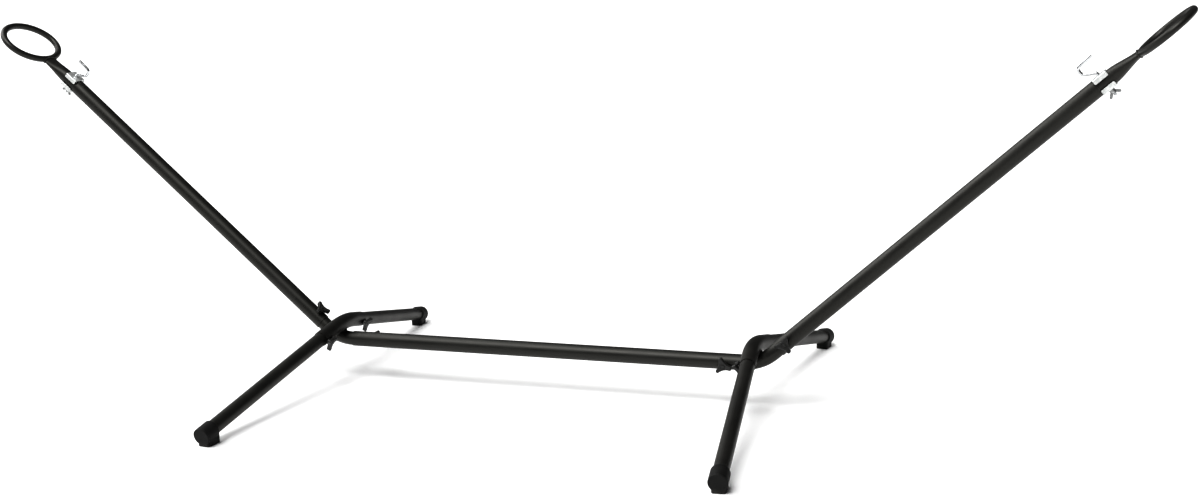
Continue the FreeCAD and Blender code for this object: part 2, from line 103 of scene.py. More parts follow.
def numbers(tree, operation, first, second=0.0, clamp=False):
    """Output of one Math node."""
    node = add(tree, "ShaderNodeMath", {0: first, 1: second}, operation=operation, use_clamp=clamp)
    return node.outputs[0]


def vectors(tree, operation, first, second):
    """The Vector Math node of two vectors."""
    return add(tree, "ShaderNodeVectorMath", {0: first, 1: second}, operation=operation)


def spread(tree, value, low, high, new_low=0.0, new_high=1.0):
    """Output of a Map Range node: low..high of the value become new_low..new_high."""
    inputs = {"Value": value, "From Min": low, "From Max": high, "To Min": new_low, "To Max": new_high}
    return add(tree, "ShaderNodeMapRange", inputs).outputs["Result"]


def blended(tree, mask, first, second):
    """Output of a colour mix: first where the mask is 0, second where it is 1."""
    node = tree.nodes.new("ShaderNodeMix")
    node.data_type = "RGBA"
    for socket, value in zip((0, 6, 7), (mask, first, second)):
        plug(tree, node, socket, value)
    return node.outputs[2]


def in_place(tree):
    """Coordinates that stay with the piece, in metres."""
    return tree.nodes.new("ShaderNodeTexCoord").outputs["Object"]


def grain(tree, scale, detail=2.0, roughness=0.5, coordinates=None):
    """Output of a noise texture, 0 to 1."""
    inputs = {"Vector": coordinates or in_place(tree), "Scale": scale, "Detail": detail,
              "Roughness": roughness}
    return add(tree, "ShaderNodeTexNoise", inputs).outputs["Fac"]


def bumped(tree, height, distance, strength=1.0):
    """Normal of a bump; distance is the height of 1, in metres."""
    inputs = {"Height": height, "Distance": distance, "Strength": strength}
    return add(tree, "ShaderNodeBump", inputs).outputs["Normal"]


def floor_paint():
    material = blank_material("studio_floor")
    tree = material.node_tree
    cloud = spread(tree, grain(tree, 0.8), 0.3, 0.7)
    surface(tree, {"Base Color": blended(tree, cloud, floor_colour, floor_cloud), "Roughness": 0.9,
                   "Specular IOR Level": 0.0})
    return material


def soft_sun(name, heading, strength, angle):
    """Distant lamp as wide as angle, so that the whole floor gets the same light."""
    data = bpy.data.lights.new(name, "SUN")
    data.energy = strength
    data.angle = angle
    thing = bpy.data.objects.new(name, data)
    thing.rotation_mode = "QUATERNION"
    thing.rotation_quaternion = heading.to_track_quat("-Z", "Y")
    bpy.context.scene.collection.objects.link(thing)


def room():
    """Even white room, a little darker low down."""
    world = bpy.data.worlds.new("studio_room")
    world.use_nodes = True
    tree = world.node_tree
    tree.nodes.clear()
    heading = tree.nodes.new("ShaderNodeTexCoord").outputs["Generated"]
    height = add(tree, "ShaderNodeSeparateXYZ", {0: heading}).outputs["Z"]
    colour = blended(tree, spread(tree, height, -0.1, 0.7), sky_low, sky_high)
    background = add(tree, "ShaderNodeBackground", {"Color": colour, "Strength": sky_strength})
    add(tree, "ShaderNodeOutputWorld", {"Surface": background.outputs["Background"]})
    bpy.context.scene.world = world


def camera():
    """Turned by yaw about Z, then tipped down by pitch, then rolled about its own view line."""
    ahead = Vector((math.sin(camera_yaw) * math.cos(camera_pitch),
                    math.cos(camera_yaw) * math.cos(camera_pitch), -math.sin(camera_pitch)))
    level = Vector((math.cos(camera_yaw), -math.sin(camera_yaw), 0.0))
    upright = level.cross(ahead)
    right = level * math.cos(camera_roll) + upright * math.sin(camera_roll)
    up = upright * math.cos(camera_roll) - level * math.sin(camera_roll)
    data = bpy.data.cameras.new("camera")
    data.lens = camera_lens
    data.sensor_width = camera_sensor
    data.sensor_fit = "HORIZONTAL"
    thing = bpy.data.objects.new("camera", data)
    turned = Matrix((right, up, -ahead)).transposed().to_4x4()
    thing.matrix_world = Matrix.Translation(camera_place) @ turned
    bpy.context.scene.collection.objects.link(thing)
    bpy.context.scene.camera = thing


floor_mesh = bpy.data.meshes.new("floor")
floor_corners = [(x * floor_half, y * floor_half, -floor_drop)
                 for x, y in ((-1, -1), (1, -1), (1, 1), (-1, 1))]
floor_mesh.from_pydata(floor_corners, [], [(0, 1, 2, 3)])
floor_mesh.materials.append(floor_paint())
floor = bpy.data.objects.new("floor", floor_mesh)
bpy.context.scene.collection.objects.link(floor)
soft_sun("key_light", key_heading, key_strength, key_spread)
soft_sun("fill_light", fill_heading, fill_strength, fill_spread)
room()
camera()
bpy.context.scene.view_settings.view_transform = "Standard"
bpy.context.scene.view_settings.look = "High Contrast"

# ---------------------------------------------------------------------------------------------
# Tubes. Drawn steel tube in two sizes that slide in each other, cut square, bent cold, and powder
# coated black after welding. The coat has a fine orange peel. It is rubbed thin on cut edges, and
# scratched lengthwise where one tube has slid in another.
coat_black = (0.0050, 0.0050, 0.0046, 1.0)
coat_mottle = (0.0085, 0.0085, 0.0078, 1.0)
coat_worn = (0.042, 0.042, 0.038, 1.0)
bare_steel = (0.30, 0.29, 0.28, 1.0)
coat_dust = (0.060, 0.058, 0.052, 1.0)
coat_roughness = 0.47
peel_height = 0.06 * mm
edge_radius = 0.5 * mm
scuff_reach = 26.0 * mm
rim_slack = 0.1 * mm
side_words = {"left": -1, "right": 1}
end_words = ("front", "rear")


def new_group(name, inputs, outputs):
    """Empty shader node group with its sockets; gives the tree and its two end nodes."""
    tree = bpy.data.node_groups.new(name, "ShaderNodeTree")
    for socket_name, kind, value in inputs:
        tree.interface.new_socket(socket_name, in_out="INPUT", socket_type=kind).default_value = value
    for socket_name in outputs:
        tree.interface.new_socket(socket_name, in_out="OUTPUT", socket_type="NodeSocketFloat")
    return tree, tree.nodes.new("NodeGroupInput"), tree.nodes.new("NodeGroupOutput")


def use_group(tree, group, inputs=None):
    """Outputs of a group node."""
    node = tree.nodes.new("ShaderNodeGroup")
    node.node_tree = group
    for name, value in (inputs or {}).items():
        plug(tree, node, name, value)
    return node.outputs


def powder_skin_group():
    """Orange peel of a sprayed coat, a soft mottle of thick and thin places, and specks."""
    tree, start, end = new_group("powder_skin", [("Peel Scale", "NodeSocketFloat", 900.0)],
                                 ("Height", "Mottle", "Specks"))
    peel = grain(tree, start.outputs["Peel Scale"], 3.0, 0.55)
    pits = grain(tree, 2600.0, 1.0)
    height = numbers(tree, "ADD", numbers(tree, "MULTIPLY", peel, 0.75),
                     numbers(tree, "MULTIPLY", pits, 0.25))
    plug(tree, end, "Height", height)
    plug(tree, end, "Mottle", spread(tree, grain(tree, 11.0, 4.0, 0.6), 0.35, 0.68))
    plug(tree, end, "Specks", spread(tree, grain(tree, 1400.0, 1.0), 0.70, 0.76))
    return tree


def edge_wear_group():
    """Mask of outer edges, broken up so that it reads as rubbing."""
    tree, start, end = new_group("edge_wear", [("Radius", "NodeSocketFloat", 0.0005),
                                               ("Amount", "NodeSocketFloat", 1.0)], ("Mask",))
    rounded = add(tree, "ShaderNodeBevel", {"Radius": start.outputs["Radius"]}, samples=4)
    plain = tree.nodes.new("ShaderNodeNewGeometry").outputs["Normal"]
    facing = vectors(tree, "DOT_PRODUCT", rounded.outputs["Normal"], plain).outputs["Value"]
    edge = spread(tree, facing, 0.985, 0.86)
    broken = spread(tree, grain(tree, 210.0, 3.0, 0.6), 0.42, 0.62)
    rubbed = numbers(tree, "MULTIPLY", edge, broken)
    plug(tree, end, "Mask", numbers(tree, "MULTIPLY", rubbed, start.outputs["Amount"], clamp=True))
    return tree


def slide_scuff_group():
    """Fine scratches along a tube, dying away over Reach from the rim that made them."""
    tree, start, end = new_group("slide_scuff", [("Rim", "NodeSocketVector", (0, 0, 0)),
                                                 ("Axis", "NodeSocketVector", (1, 0, 0)),
                                                 ("Reach", "NodeSocketFloat", 0.03)], ("Mask",))
    offset = vectors(tree, "SUBTRACT", in_place(tree), start.outputs["Rim"]).outputs[0]
    along = vectors(tree, "DOT_PRODUCT", offset, start.outputs["Axis"]).outputs["Value"]
    back = add(tree, "ShaderNodeVectorMath", {0: start.outputs["Axis"], "Scale": along},
               operation="SCALE").outputs[0]
    across = vectors(tree, "SUBTRACT", offset, back).outputs[0]
    squeezed = add(tree, "ShaderNodeVectorMath", {0: back, "Scale": 0.03}, operation="SCALE").outputs[0]
    place = vectors(tree, "ADD", across, squeezed).outputs[0]
    streaks = spread(tree, grain(tree, 1500.0, 2.0, 0.5, place), 0.56, 0.70)
    share = numbers(tree, "DIVIDE", numbers(tree, "ABSOLUTE", along), start.outputs["Reach"])
    near = numbers(tree, "SUBTRACT", 1.0, share, clamp=True)
    plug(tree, end, "Mask", numbers(tree, "MULTIPLY", streaks, near))
    return tree


def settled_dust_group():
    """Mask of faces that look up, with a cloudy edge."""
    tree, start, end = new_group("settled_dust", [("Amount", "NodeSocketFloat", 0.1)], ("Mask",))
    normal = tree.nodes.new("ShaderNodeNewGeometry").outputs["Normal"]
    height = add(tree, "ShaderNodeSeparateXYZ", {0: normal}).outputs["Z"]
    upward = spread(tree, height, 0.35, 1.0)
    cloudy = numbers(tree, "MULTIPLY", upward, spread(tree, grain(tree, 34.0, 5.0, 0.7), 0.3, 0.75))
    plug(tree, end, "Mask", numbers(tree, "MULTIPLY", cloudy, start.outputs["Amount"], clamp=True))
    return tree


powder_skin = powder_skin_group()
edge_wear = edge_wear_group()
slide_scuff = slide_scuff_group()
settled_dust = settled_dust_group()


def powder_coat(name, rims=(), wear=0.35, dust=0.10):
    """Black powder coat; rims are (place, axis) pairs where another tube slides on this one."""
    material = blank_material(name)
    tree = material.node_tree
    skin = use_group(tree, powder_skin)
    edges = use_group(tree, edge_wear, {"Radius": edge_radius, "Amount": wear})["Mask"]
    dusty = use_group(tree, settled_dust, {"Amount": dust})["Mask"]
    scuffs = 0.0
    for place, axis in rims:
        mask = use_group(tree, slide_scuff, {"Rim": place, "Axis": axis, "Reach": scuff_reach})["Mask"]
        scuffs = numbers(tree, "MAXIMUM", scuffs, mask)
    colour = blended(tree, skin["Mottle"], coat_black, coat_mottle)
    colour = blended(tree, numbers(tree, "MULTIPLY", skin["Specks"], 0.5), colour, coat_worn)
    colour = blended(tree, numbers(tree, "MULTIPLY", scuffs, 0.5), colour, coat_worn)
    colour = blended(tree, dusty, colour, coat_dust)
    colour = blended(tree, edges, colour, bare_steel)
    dull = spread(tree, skin["Mottle"], 0.0, 1.0, coat_roughness - 0.03, coat_roughness + 0.05)
    dull = numbers(tree, "ADD", dull, numbers(tree, "MULTIPLY", scuffs, 0.12))
    dull = numbers(tree, "ADD", dull, numbers(tree, "MULTIPLY", dusty, 0.5))
    surface(tree, {"Base Color": colour, "Roughness": dull,
                   "Metallic": numbers(tree, "MULTIPLY", edges, 0.6),
                   "Specular IOR Level": 0.55, "Specular Tint": (1.0, 0.99, 0.93, 1.0),
                   "Normal": bumped(tree, skin["Height"], peel_height, 0.5)})
    return material


def dress(node, material):
    """Gives a CAD node its finished material."""
    mesh = nodes[node].data
    mesh.materials.clear()
    mesh.materials.append(material)


def end_centre(node, axis):
    """Middle of a straight tube's end face on the side that the axis points to."""
    points = [vertex.co for vertex in nodes[node].data.vertices]
    furthest = max(point.dot(axis) for point in points)
    rim = [point for point in points if furthest - point.dot(axis) < rim_slack]
    centre = axis * furthest
    first = axis.orthogonal().normalized()
    for direction in (first, axis.cross(first).normalized()):
        reaches = [point.dot(direction) for point in rim]
        centre += direction * ((min(reaches) + max(reaches)) / 2)
    return centre


arm_axes = {word: Vector(joints[word + "_arm_slide"]["axis"]).normalized() for word in side_words}
leg_names = [word + "_" + end_word + "_leg" for word in side_words for end_word in end_words]
leg_axes = {leg: Vector(joints[leg + "_slide"]["axis"]).normalized() for leg in leg_names}
dress("spine_tube", powder_coat("spine_coat"))
for word, side in side_words.items():
    spine_out = Vector((side, 0, 0))
    elbow_rims = [(end_centre(word + "_arm_tube", -arm_axes[word]), arm_axes[word]),
                  (end_centre("spine_tube", spine_out), spine_out)]
    insert_rims = [(end_centre(word + "_arm_tube", arm_axes[word]), arm_axes[word])]
    dress(word + "_elbow", powder_coat(word + "_elbow_coat", elbow_rims))
    dress(word + "_cross_tube", powder_coat(word + "_cross_coat"))
    dress(word + "_arm_tube", powder_coat(word + "_arm_coat"))
    dress(word + "_insert_tube", powder_coat(word + "_insert_coat", insert_rims))
    dress(word + "_ring", powder_coat(word + "_ring_coat"))
for leg in leg_names:
    leg_side = leg.split("_")[0]
    leg_rim = (end_centre(leg_side + "_cross_tube", leg_axes[leg]), leg_axes[leg])
    dress(leg, powder_coat(leg + "_coat", [leg_rim]))

# ---------------------------------------------------------------------------------------------
# Weld beads. Hand-laid fillets where a cross tube sits on its elbow, where a ring meets its
# pressed neck, and round the foot of each knob's nut. They are rippled by the pulses of the weld,
# and lie under the same powder coat.
seat_half_along = 12.8
seat_half_across = 11.8
seat_cope = 0.6
seat_bead = 3.3
seat_ripple = 4.2
elbow_radius = 19.2
elbow_bend = 120.0
arm_slope = math.radians(41.5)
elbow_rise = elbow_bend * (1 / math.cos(arm_slope / 2) - 1)
cross_radius = 21.0
neck_half_thick = 9.0
neck_half_wide = 24.4
neck_station = 95.1
neck_bow = 2.6
neck_bead = 2.5
neck_ripple = 3.4
nut_radius = 7.9
nut_bead = 1.25
nut_ripple = 2.2
ripple_share = 0.09
wander_share = 0.08
wander_scale = 0.35
sway_share = 0.12


def standing(origin, axis, toward):
    """Placement of a piece drawn in mm: its Z along axis, its X on the side of toward."""
    z = axis.normalized()
    x = (toward - z * toward.dot(z)).normalized()
    y = z.cross(x)
    return Matrix.Translation(origin) @ Matrix((x, y, z)).transposed().to_4x4() @ Matrix.Scale(mm, 4)


def skin(rings, round_trip=False):
    """Closed mesh over rings of points; its two ends are closed, or joined in a round trip."""
    bm = bmesh.new()
    rows = [[bm.verts.new(point) for point in ring] for ring in rings]
    pairs = list(zip(rows, rows[1:]))
    if round_trip:
        pairs.append((rows[-1], rows[0]))
    for row, next_row in pairs:
        for k in range(len(row)):
            bm.faces.new((row[k - 1], row[k], next_row[k], next_row[k - 1]))
    if not round_trip:
        for row in (rows[0], rows[-1]):
            middle = bm.verts.new(sum((vert.co for vert in row), Vector()) / len(row))
            for k in range(len(row)):
                bm.faces.new((row[k - 1], row[k], middle))
    return bm


def make(name, bm, place, material, sharp=40.0):
    """Object from a mesh drawn in mm, smooth except across sharp folds; empties the mesh."""
    bm.transform(place)
    bmesh.ops.recalc_face_normals(bm, faces=bm.faces)
    mesh = bpy.data.meshes.new(name)
    bm.to_mesh(mesh)
    bm.free()
    mesh.shade_smooth()
    mesh.set_sharp_from_angle(angle=math.radians(sharp))
    mesh.materials.append(material)
    thing = bpy.data.objects.new(name, mesh)
    bpy.context.scene.collection.objects.link(thing)
    return thing


def bead_rings(path, radius, ripple, seed, around=14):
    """Rings of a bead along a closed path of points, rippled by weld pulses, each ripple long."""
    count = len(path)
    length = sum((path[k] - path[k - 1]).length for k in range(count))
    pulses = round(length / ripple)
    rings = []
    for k, point in enumerate(path):
        heading = (path[(k + 1) % count] - path[k - 1]).normalized()
        side_way = heading.cross(Vector((0, 0, 1))).normalized()
        up_way = side_way.cross(heading)
        pulse = (k / count * pulses) % 1.0
        wander = noise.noise(Vector((point.x * wander_scale, point.y * wander_scale, seed)))
        size = radius * (1.0 + ripple_share * (0.5 - pulse * pulse) * 2 + wander_share * wander)
        centre = point + up_way * (sway_share * radius * wander)
        rings.append([centre + (side_way * math.cos(turn) + up_way * math.sin(turn)) * size
                      for turn in (math.tau * j / around for j in range(around))])
    return rings


def oval_path(half_x, half_y, height, count):
    """Points round an oval; height gives z from (x, y)."""
    path = []
    for k in range(count):
        x = half_x * math.cos(math.tau * k / count)
        y = half_y * math.sin(math.tau * k / count)
        path.append(Vector((x, y, height(x, y))))
    return path


def seat_height(x, y):
    """Half way between the elbow below and the cross tube above."""
    elbow_top = math.sqrt(elbow_radius ** 2 - y * y) - elbow_radius
    cross_bottom = cross_radius - math.sqrt(cross_radius ** 2 - x * x) - seat_cope
    return (elbow_top + cross_bottom) / 2


def neck_height(x, y):
    """The ring's bar curves away from the neck's narrow sides."""
    return neck_station + neck_bow * (x / neck_half_thick) ** 2


def nut_foot_height(x, y):
    """The outer tube's skin, which runs along x; 0 is where its top would be."""
    return math.sqrt(cross_radius ** 2 - y * y) + 0.3


hooks_at = {word: Vector(joints[word + "_hook_swivel"]["pos_m"]) for word in side_words}
arm_normals = {word: Vector(joints[word + "_hook_swivel"]["axis"]).normalized() for word in side_words}
bead_coat = powder_coat("bead_coat", wear=0.15, dust=0.12)
spine_height = joints["spine_left_knob_turn"]["pos_m"][2]
for word, side in side_words.items():
    climb = (hooks_at[word].z - spine_height) / arm_axes[word].z
    corner = hooks_at[word] - arm_axes[word] * climb
    spine_out = Vector((side, 0, 0))
    inside = (arm_axes[word] - spine_out).normalized()
    seat = corner + inside * ((elbow_rise + elbow_radius) * mm)
    path = oval_path(seat_half_along, seat_half_across, seat_height, 220)
    bead = make(word + "_cross_bead", skin(bead_rings(path, seat_bead, seat_ripple, side), True),
                standing(seat, inside, arm_axes[word] + spine_out), bead_coat)
    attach(bead, word + "_foot_frame")
    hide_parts(word + "_cross_weld")
    path = oval_path(neck_half_thick, neck_half_wide, neck_height, 200)
    bead = make(word + "_ring_bead", skin(bead_rings(path, neck_bead, neck_ripple, side), True),
                standing(hooks_at[word], arm_axes[word], arm_normals[word]), bead_coat)
    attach(bead, word + "_insert")
    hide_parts(word + "_ring_weld")

# ---------------------------------------------------------------------------------------------
# Clamping knobs and their nuts. A plain round nut is welded on the outer tube. The knob is a
# three-lobed head of black glass-filled nylon, dished on top with a plugged centre, moulded on
# the end of a zinc-plated M8 stud.
lobe_centre = 19.5
lobe_radius = 4.8
waist_radius = 11.5
lobe_steps = 18
flank_steps = 12
head_thickness = 12.0
head_rounding = 2.0
dish_depth = 3.5
dish_rim = 19.5
dish_ease = 0.8
recess_radius = 9.0
recess_depth = 3.5
stud_hole = 4.05
stud_top = 8.1
knob_standoff = 24.0
rear_lobe_turn = 48.0
front_lobe_turn = 14.0
plug_radius = 5.6
plug_rise = 1.5
parting_line = 0.14
parting_height = 6.0
thread_pitch = 1.25
nylon_black = (0.012, 0.012, 0.0115, 1.0)
nylon_grey = (0.028, 0.028, 0.027, 1.0)
nylon_rubbed = (0.075, 0.074, 0.070, 1.0)
plating_light = (0.62, 0.63, 0.62, 1.0)
plating_dark = (0.36, 0.36, 0.35, 1.0)


def polar(radius, degrees):
    return Vector((radius * math.cos(math.radians(degrees)), radius * math.sin(math.radians(degrees)), 0.0))


def lobe_loop():
    """Points of the head's outline with their outward directions: round lobes, hollow flanks."""
    step = lobe_radius - waist_radius
    flank_centre = (lobe_centre ** 2 - step ** 2) / (lobe_centre + 2 * step)
    flank_radius = flank_centre - waist_radius
    swing = math.degrees((polar(flank_centre, 60) - polar(lobe_centre, 0)).angle(Vector((1, 0, 0))))
    loop = []
    for turn in (0, 120, 240):
        for k in range(lobe_steps):
            out = polar(1.0, turn + swing * (2 * k / lobe_steps - 1))
            loop.append((polar(lobe_centre, turn) + out * lobe_radius, out))
        for k in range(flank_steps):
            out = polar(1.0, turn + 60 + (swing - 60) * (1 - 2 * k / flank_steps))
            loop.append((polar(flank_centre, turn + 60) - out * flank_radius, out))
    return loop


def head_top(point):
    """Height of the dished top, eased where the dish meets the flat of the lobes."""
    reach = point.xy.length
    curve = (dish_rim ** 2 + dish_depth ** 2) / (2 * dish_depth)
    dish = head_thickness - dish_depth + reach * reach / (2 * curve)
    gap = (dish - head_thickness) / dish_ease
    eased = dish_ease * math.log1p(math.exp(-gap))
    crest = dish_ease * math.log(2) * math.exp(-gap * gap)
    return head_thickness - eased + crest


def head_rings():
    """Rings from the stud's hole, out under the head, round its rim and in over the dish."""
    loop = lobe_loop()
    ways = [point.normalized() for point, out in loop]

    def circle(radius, height):
        return [way * radius + Vector((0, 0, height)) for way in ways]

    def outline(inset, height):
        return [point - out * inset + Vector((0, 0, height)) for point, out in loop]

    def toward_plug(share):
        ring = []
        for (point, out), way in zip(loop, ways):
            place = (point - out * (head_rounding + 0.4)).lerp(way * (plug_radius + 1.4), share)
            ring.append(place + Vector((0, 0, head_top(place))))
        return ring

    arc = [math.radians(15 * k) for k in range(7)]
    rings = [circle(0.5, stud_top), circle(stud_hole, stud_top), circle(stud_hole, recess_depth),
             circle(recess_radius - 0.4, recess_depth), circle(recess_radius, recess_depth - 0.4),
             circle(recess_radius, 0.5), circle(recess_radius + 0.5, 0.0)]
    rings += [outline(head_rounding * (1 - math.sin(turn)), head_rounding * (1 - math.cos(turn)))
              for turn in arc]
    rings += [outline(0.0, parting_height + rise) for rise in (-0.4, -0.2)]
    rings += [outline(-parting_line, parting_height + rise) for rise in (-0.05, 0.05)]
    rings += [outline(0.0, parting_height + rise) for rise in (0.2, 0.4)]
    for turn in arc:
        ring = []
        for point, out in loop:
            rim = head_top(point) - head_rounding * (1 - math.sin(turn))
            ring.append(point - out * (head_rounding * (1 - math.cos(turn))) + Vector((0, 0, rim)))
        rings.append(ring)
    rings += [toward_plug(share) for share in (0.0, 0.15, 0.3, 0.45, 0.6, 0.75, 0.9, 1.0)]
    dish_floor = head_thickness - dish_depth
    plug_top = dish_floor + plug_rise
    rings += [circle(plug_radius + 0.9, dish_floor), circle(plug_radius + 0.6, dish_floor - 0.45),
              circle(plug_radius + 0.2, dish_floor - 0.45), circle(plug_radius, dish_floor),
              circle(plug_radius - 0.1, plug_top - 0.5), circle(plug_radius - 0.6, plug_top - 0.1),
              circle(plug_radius - 1.6, plug_top), circle(1.5, plug_top + 0.1)]
    return rings


def nylon():
    """Spark-eroded mould texture, rubbed lighter on its edges."""
    material = blank_material("knob_nylon")
    tree = material.node_tree
    edges = use_group(tree, edge_wear, {"Radius": 0.9 * mm, "Amount": 0.8})["Mask"]
    dusty = use_group(tree, settled_dust, {"Amount": 0.2})["Mask"]
    fibre = grain(tree, 420.0, 4.0, 0.65)
    pebble = grain(tree, 1900.0, 2.0, 0.6)
    colour = blended(tree, spread(tree, fibre, 0.35, 0.7), nylon_black, nylon_grey)
    colour = blended(tree, dusty, colour, coat_dust)
    colour = blended(tree, edges, colour, nylon_rubbed)
    surface(tree, {"Base Color": colour, "Roughness": spread(tree, fibre, 0.3, 0.7, 0.42, 0.56),
                   "Specular IOR Level": 0.5, "Normal": bumped(tree, pebble, 0.08 * mm, 0.6)})
    return material


def plated_steel(name, roughness, thread_axis=None):
    """Zinc plating with a cloudy, slightly brushed bloom; thread_axis adds a stud's thread."""
    material = blank_material(name)
    tree = material.node_tree
    cloud = grain(tree, 160.0, 4.0, 0.6)
    height = grain(tree, 600.0, 3.0, 0.6)
    edges = use_group(tree, edge_wear, {"Radius": 0.3 * mm, "Amount": 0.5})["Mask"]
    colour = blended(tree, spread(tree, cloud, 0.35, 0.65), plating_dark, plating_light)
    colour = blended(tree, edges, colour, plating_light)
    distance = 0.03 * mm
    if thread_axis:
        along = vectors(tree, "DOT_PRODUCT", in_place(tree), thread_axis).outputs["Value"]
        turns = numbers(tree, "PINGPONG", along, thread_pitch / 2 * mm)
        height = numbers(tree, "MULTIPLY", turns, 1000.0)
        distance = 0.9 * mm
    surface(tree, {"Base Color": colour, "Metallic": 1.0,
                   "Roughness": spread(tree, cloud, 0.3, 0.7, roughness - 0.05, roughness + 0.09),
                   "Normal": bumped(tree, height, distance)})
    return material


knob_nylon = nylon()
knobs = {}
for word, side in side_words.items():
    lean = math.radians(rear_lobe_turn if side < 0 else front_lobe_turn)
    lobe_way = Vector((-side * math.sin(lean), 0, math.cos(lean)))
    knobs["spine_" + word] = ("spine_" + word + "_knob", "spine", Vector((1, 0, 0)), lobe_way)
    lobe_way = Vector((0, -1, 0)) if side < 0 else -arm_normals[word]
    knobs[word + "_arm"] = (word + "_arm_knob", word + "_arm", arm_axes[word], lobe_way)
for leg in leg_names:
    knobs[leg] = (leg + "_knob", leg.split("_")[0] + "_foot_frame", leg_axes[leg], Vector((0, 0, -1)))
for name, (body, tube_body, tube_axis, lobe_way) in knobs.items():
    joint = joints[body + "_turn"]
    knob_axis = Vector(joint["axis"]).normalized()
    knob_place = Vector(joint["pos_m"])
    head = make(body + "_head_moulding", skin(head_rings()), standing(knob_place, knob_axis, lobe_way),
                knob_nylon)
    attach(head, body)
    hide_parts(name + "_knob_head")
    dress(name + "_knob_stud", plated_steel(body + "_stud_plating", 0.32, tuple(knob_axis)))
    path = oval_path(nut_radius, nut_radius, nut_foot_height, 90)
    bead = make(body + "_nut_bead", skin(bead_rings(path, nut_bead, nut_ripple, len(name), 10), True),
                standing(knob_place - knob_axis * (knob_standoff * mm), knob_axis, tube_axis), bead_coat)
    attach(bead, tube_body)
nut_coat = powder_coat("nut_coat", wear=0.8)
for nut_node in ("spine_weld_nuts", "left_cross_weld_nuts", "right_cross_weld_nuts",
                 "left_arm_weld_nut", "right_arm_weld_nut"):
    dress(nut_node, nut_coat)

# ---------------------------------------------------------------------------------------------
# Foot caps. Black rubber, each moulded in one piece: a sleeve pushed over the leg's end, closed at
# the outside, running smoothly into a block with a flat sole that stands on the ground.
cap_radius = 23.5
cap_mouth = -40.0
cap_end = 4.5
cap_edge = 2.0
cap_groove = -1.2
cap_groove_depth = 0.8
cap_groove_half = 0.55
cap_blend = 2.5
tube_skin = 18.9
block_length = 47.0
block_width = 34.0
block_setback = 1.5
block_corner = 6.0
block_edge = 1.6
cap_points = 132
cap_near = 0.01
heart_reach = 5.0
rubber_black = (0.0045, 0.0045, 0.0044, 1.0)
rubber_grey = (0.011, 0.011, 0.0105, 1.0)
rubber_dust = (0.075, 0.072, 0.066, 1.0)


def rounded_box(across, along, half_across, half_along, edge):
    """Distance to a rectangle with rounded corners."""
    first = abs(across) - half_across + edge
    second = abs(along) - half_along + edge
    return math.hypot(max(first, 0.0), max(second, 0.0)) + min(max(first, second), 0.0) - edge


def cap_distance(point, leg_end, axis):
    """Distance to the cap's skin, less than 0 inside: sleeve and block run together."""
    offset = point - leg_end
    along = offset.dot(axis)
    reach = (offset - axis * along).length
    groove = cap_groove_depth * math.exp(-((along - cap_groove) / cap_groove_half) ** 2)
    sleeve = rounded_box(reach + groove, along - (cap_mouth + cap_end) / 2, cap_radius,
                         (cap_end - cap_mouth) / 2, cap_edge)
    plan = rounded_box(point.x + block_setback + block_length / 2, point.y, block_length / 2,
                       block_width / 2, block_corner)
    lifted = (plan + block_edge, abs(point.z - leg_end.z / 2) - leg_end.z / 2 + block_edge)
    block = math.hypot(max(lifted[0], 0.0), max(lifted[1], 0.0)) + min(max(lifted), 0.0) - block_edge
    overlap = max(cap_blend - abs(sleeve - block), 0.0) / cap_blend
    return min(sleeve, block) - overlap * overlap * cap_blend / 4


def cap_hit(start, way, nearest, leg_end, axis):
    """Where a straight line from inside the cap comes out of its skin."""
    reach = nearest
    for step in range(40):
        gap = cap_distance(start + way * reach, leg_end, axis)
        if gap > -cap_near:
            break
        reach += max(-gap, 0.03) * 0.9
    hit = start + way * reach
    hit.z = max(hit.z, 0.0)
    return hit


def cap_rings(leg_end, axis):
    """Rings from inside the leg's wall, over the sleeve and block, to the middle of the closed end."""
    level = Vector((0, 1, 0))
    over = level.cross(axis) * -1
    turns = [math.tau * k / cap_points for k in range(cap_points)]
    ways = [over * math.cos(turn + 0.5 * math.sin(turn)) + level * math.sin(turn + 0.5 * math.sin(turn))
            for turn in turns]
    stations = [-58.0 + 1.2 * k for k in range(15)] + [cap_mouth + 0.02 + 0.25 * k for k in range(9)]
    stations += [-37.0 + 2.0 * k for k in range(13)]
    rings = [[leg_end + axis * stations[0] + way * tube_skin for way in ways]]
    for station in stations:
        start = leg_end + axis * station
        rings.append([cap_hit(start, way, tube_skin, leg_end, axis) for way in ways])
    heart = leg_end + axis * stations[-1]
    tips = [3.0 * k for k in range(1, 14)] + [39.0 + 1.0 * k for k in range(1, 21)]
    for tip in tips + [62.0, 66.0, 72.0, 79.0, 86.0]:
        lean = math.radians(tip)
        aims = [way * math.cos(lean) + axis * math.sin(lean) for way in ways]
        rings.append([cap_hit(heart, aim, heart_reach, leg_end, axis) for aim in aims])
    return rings


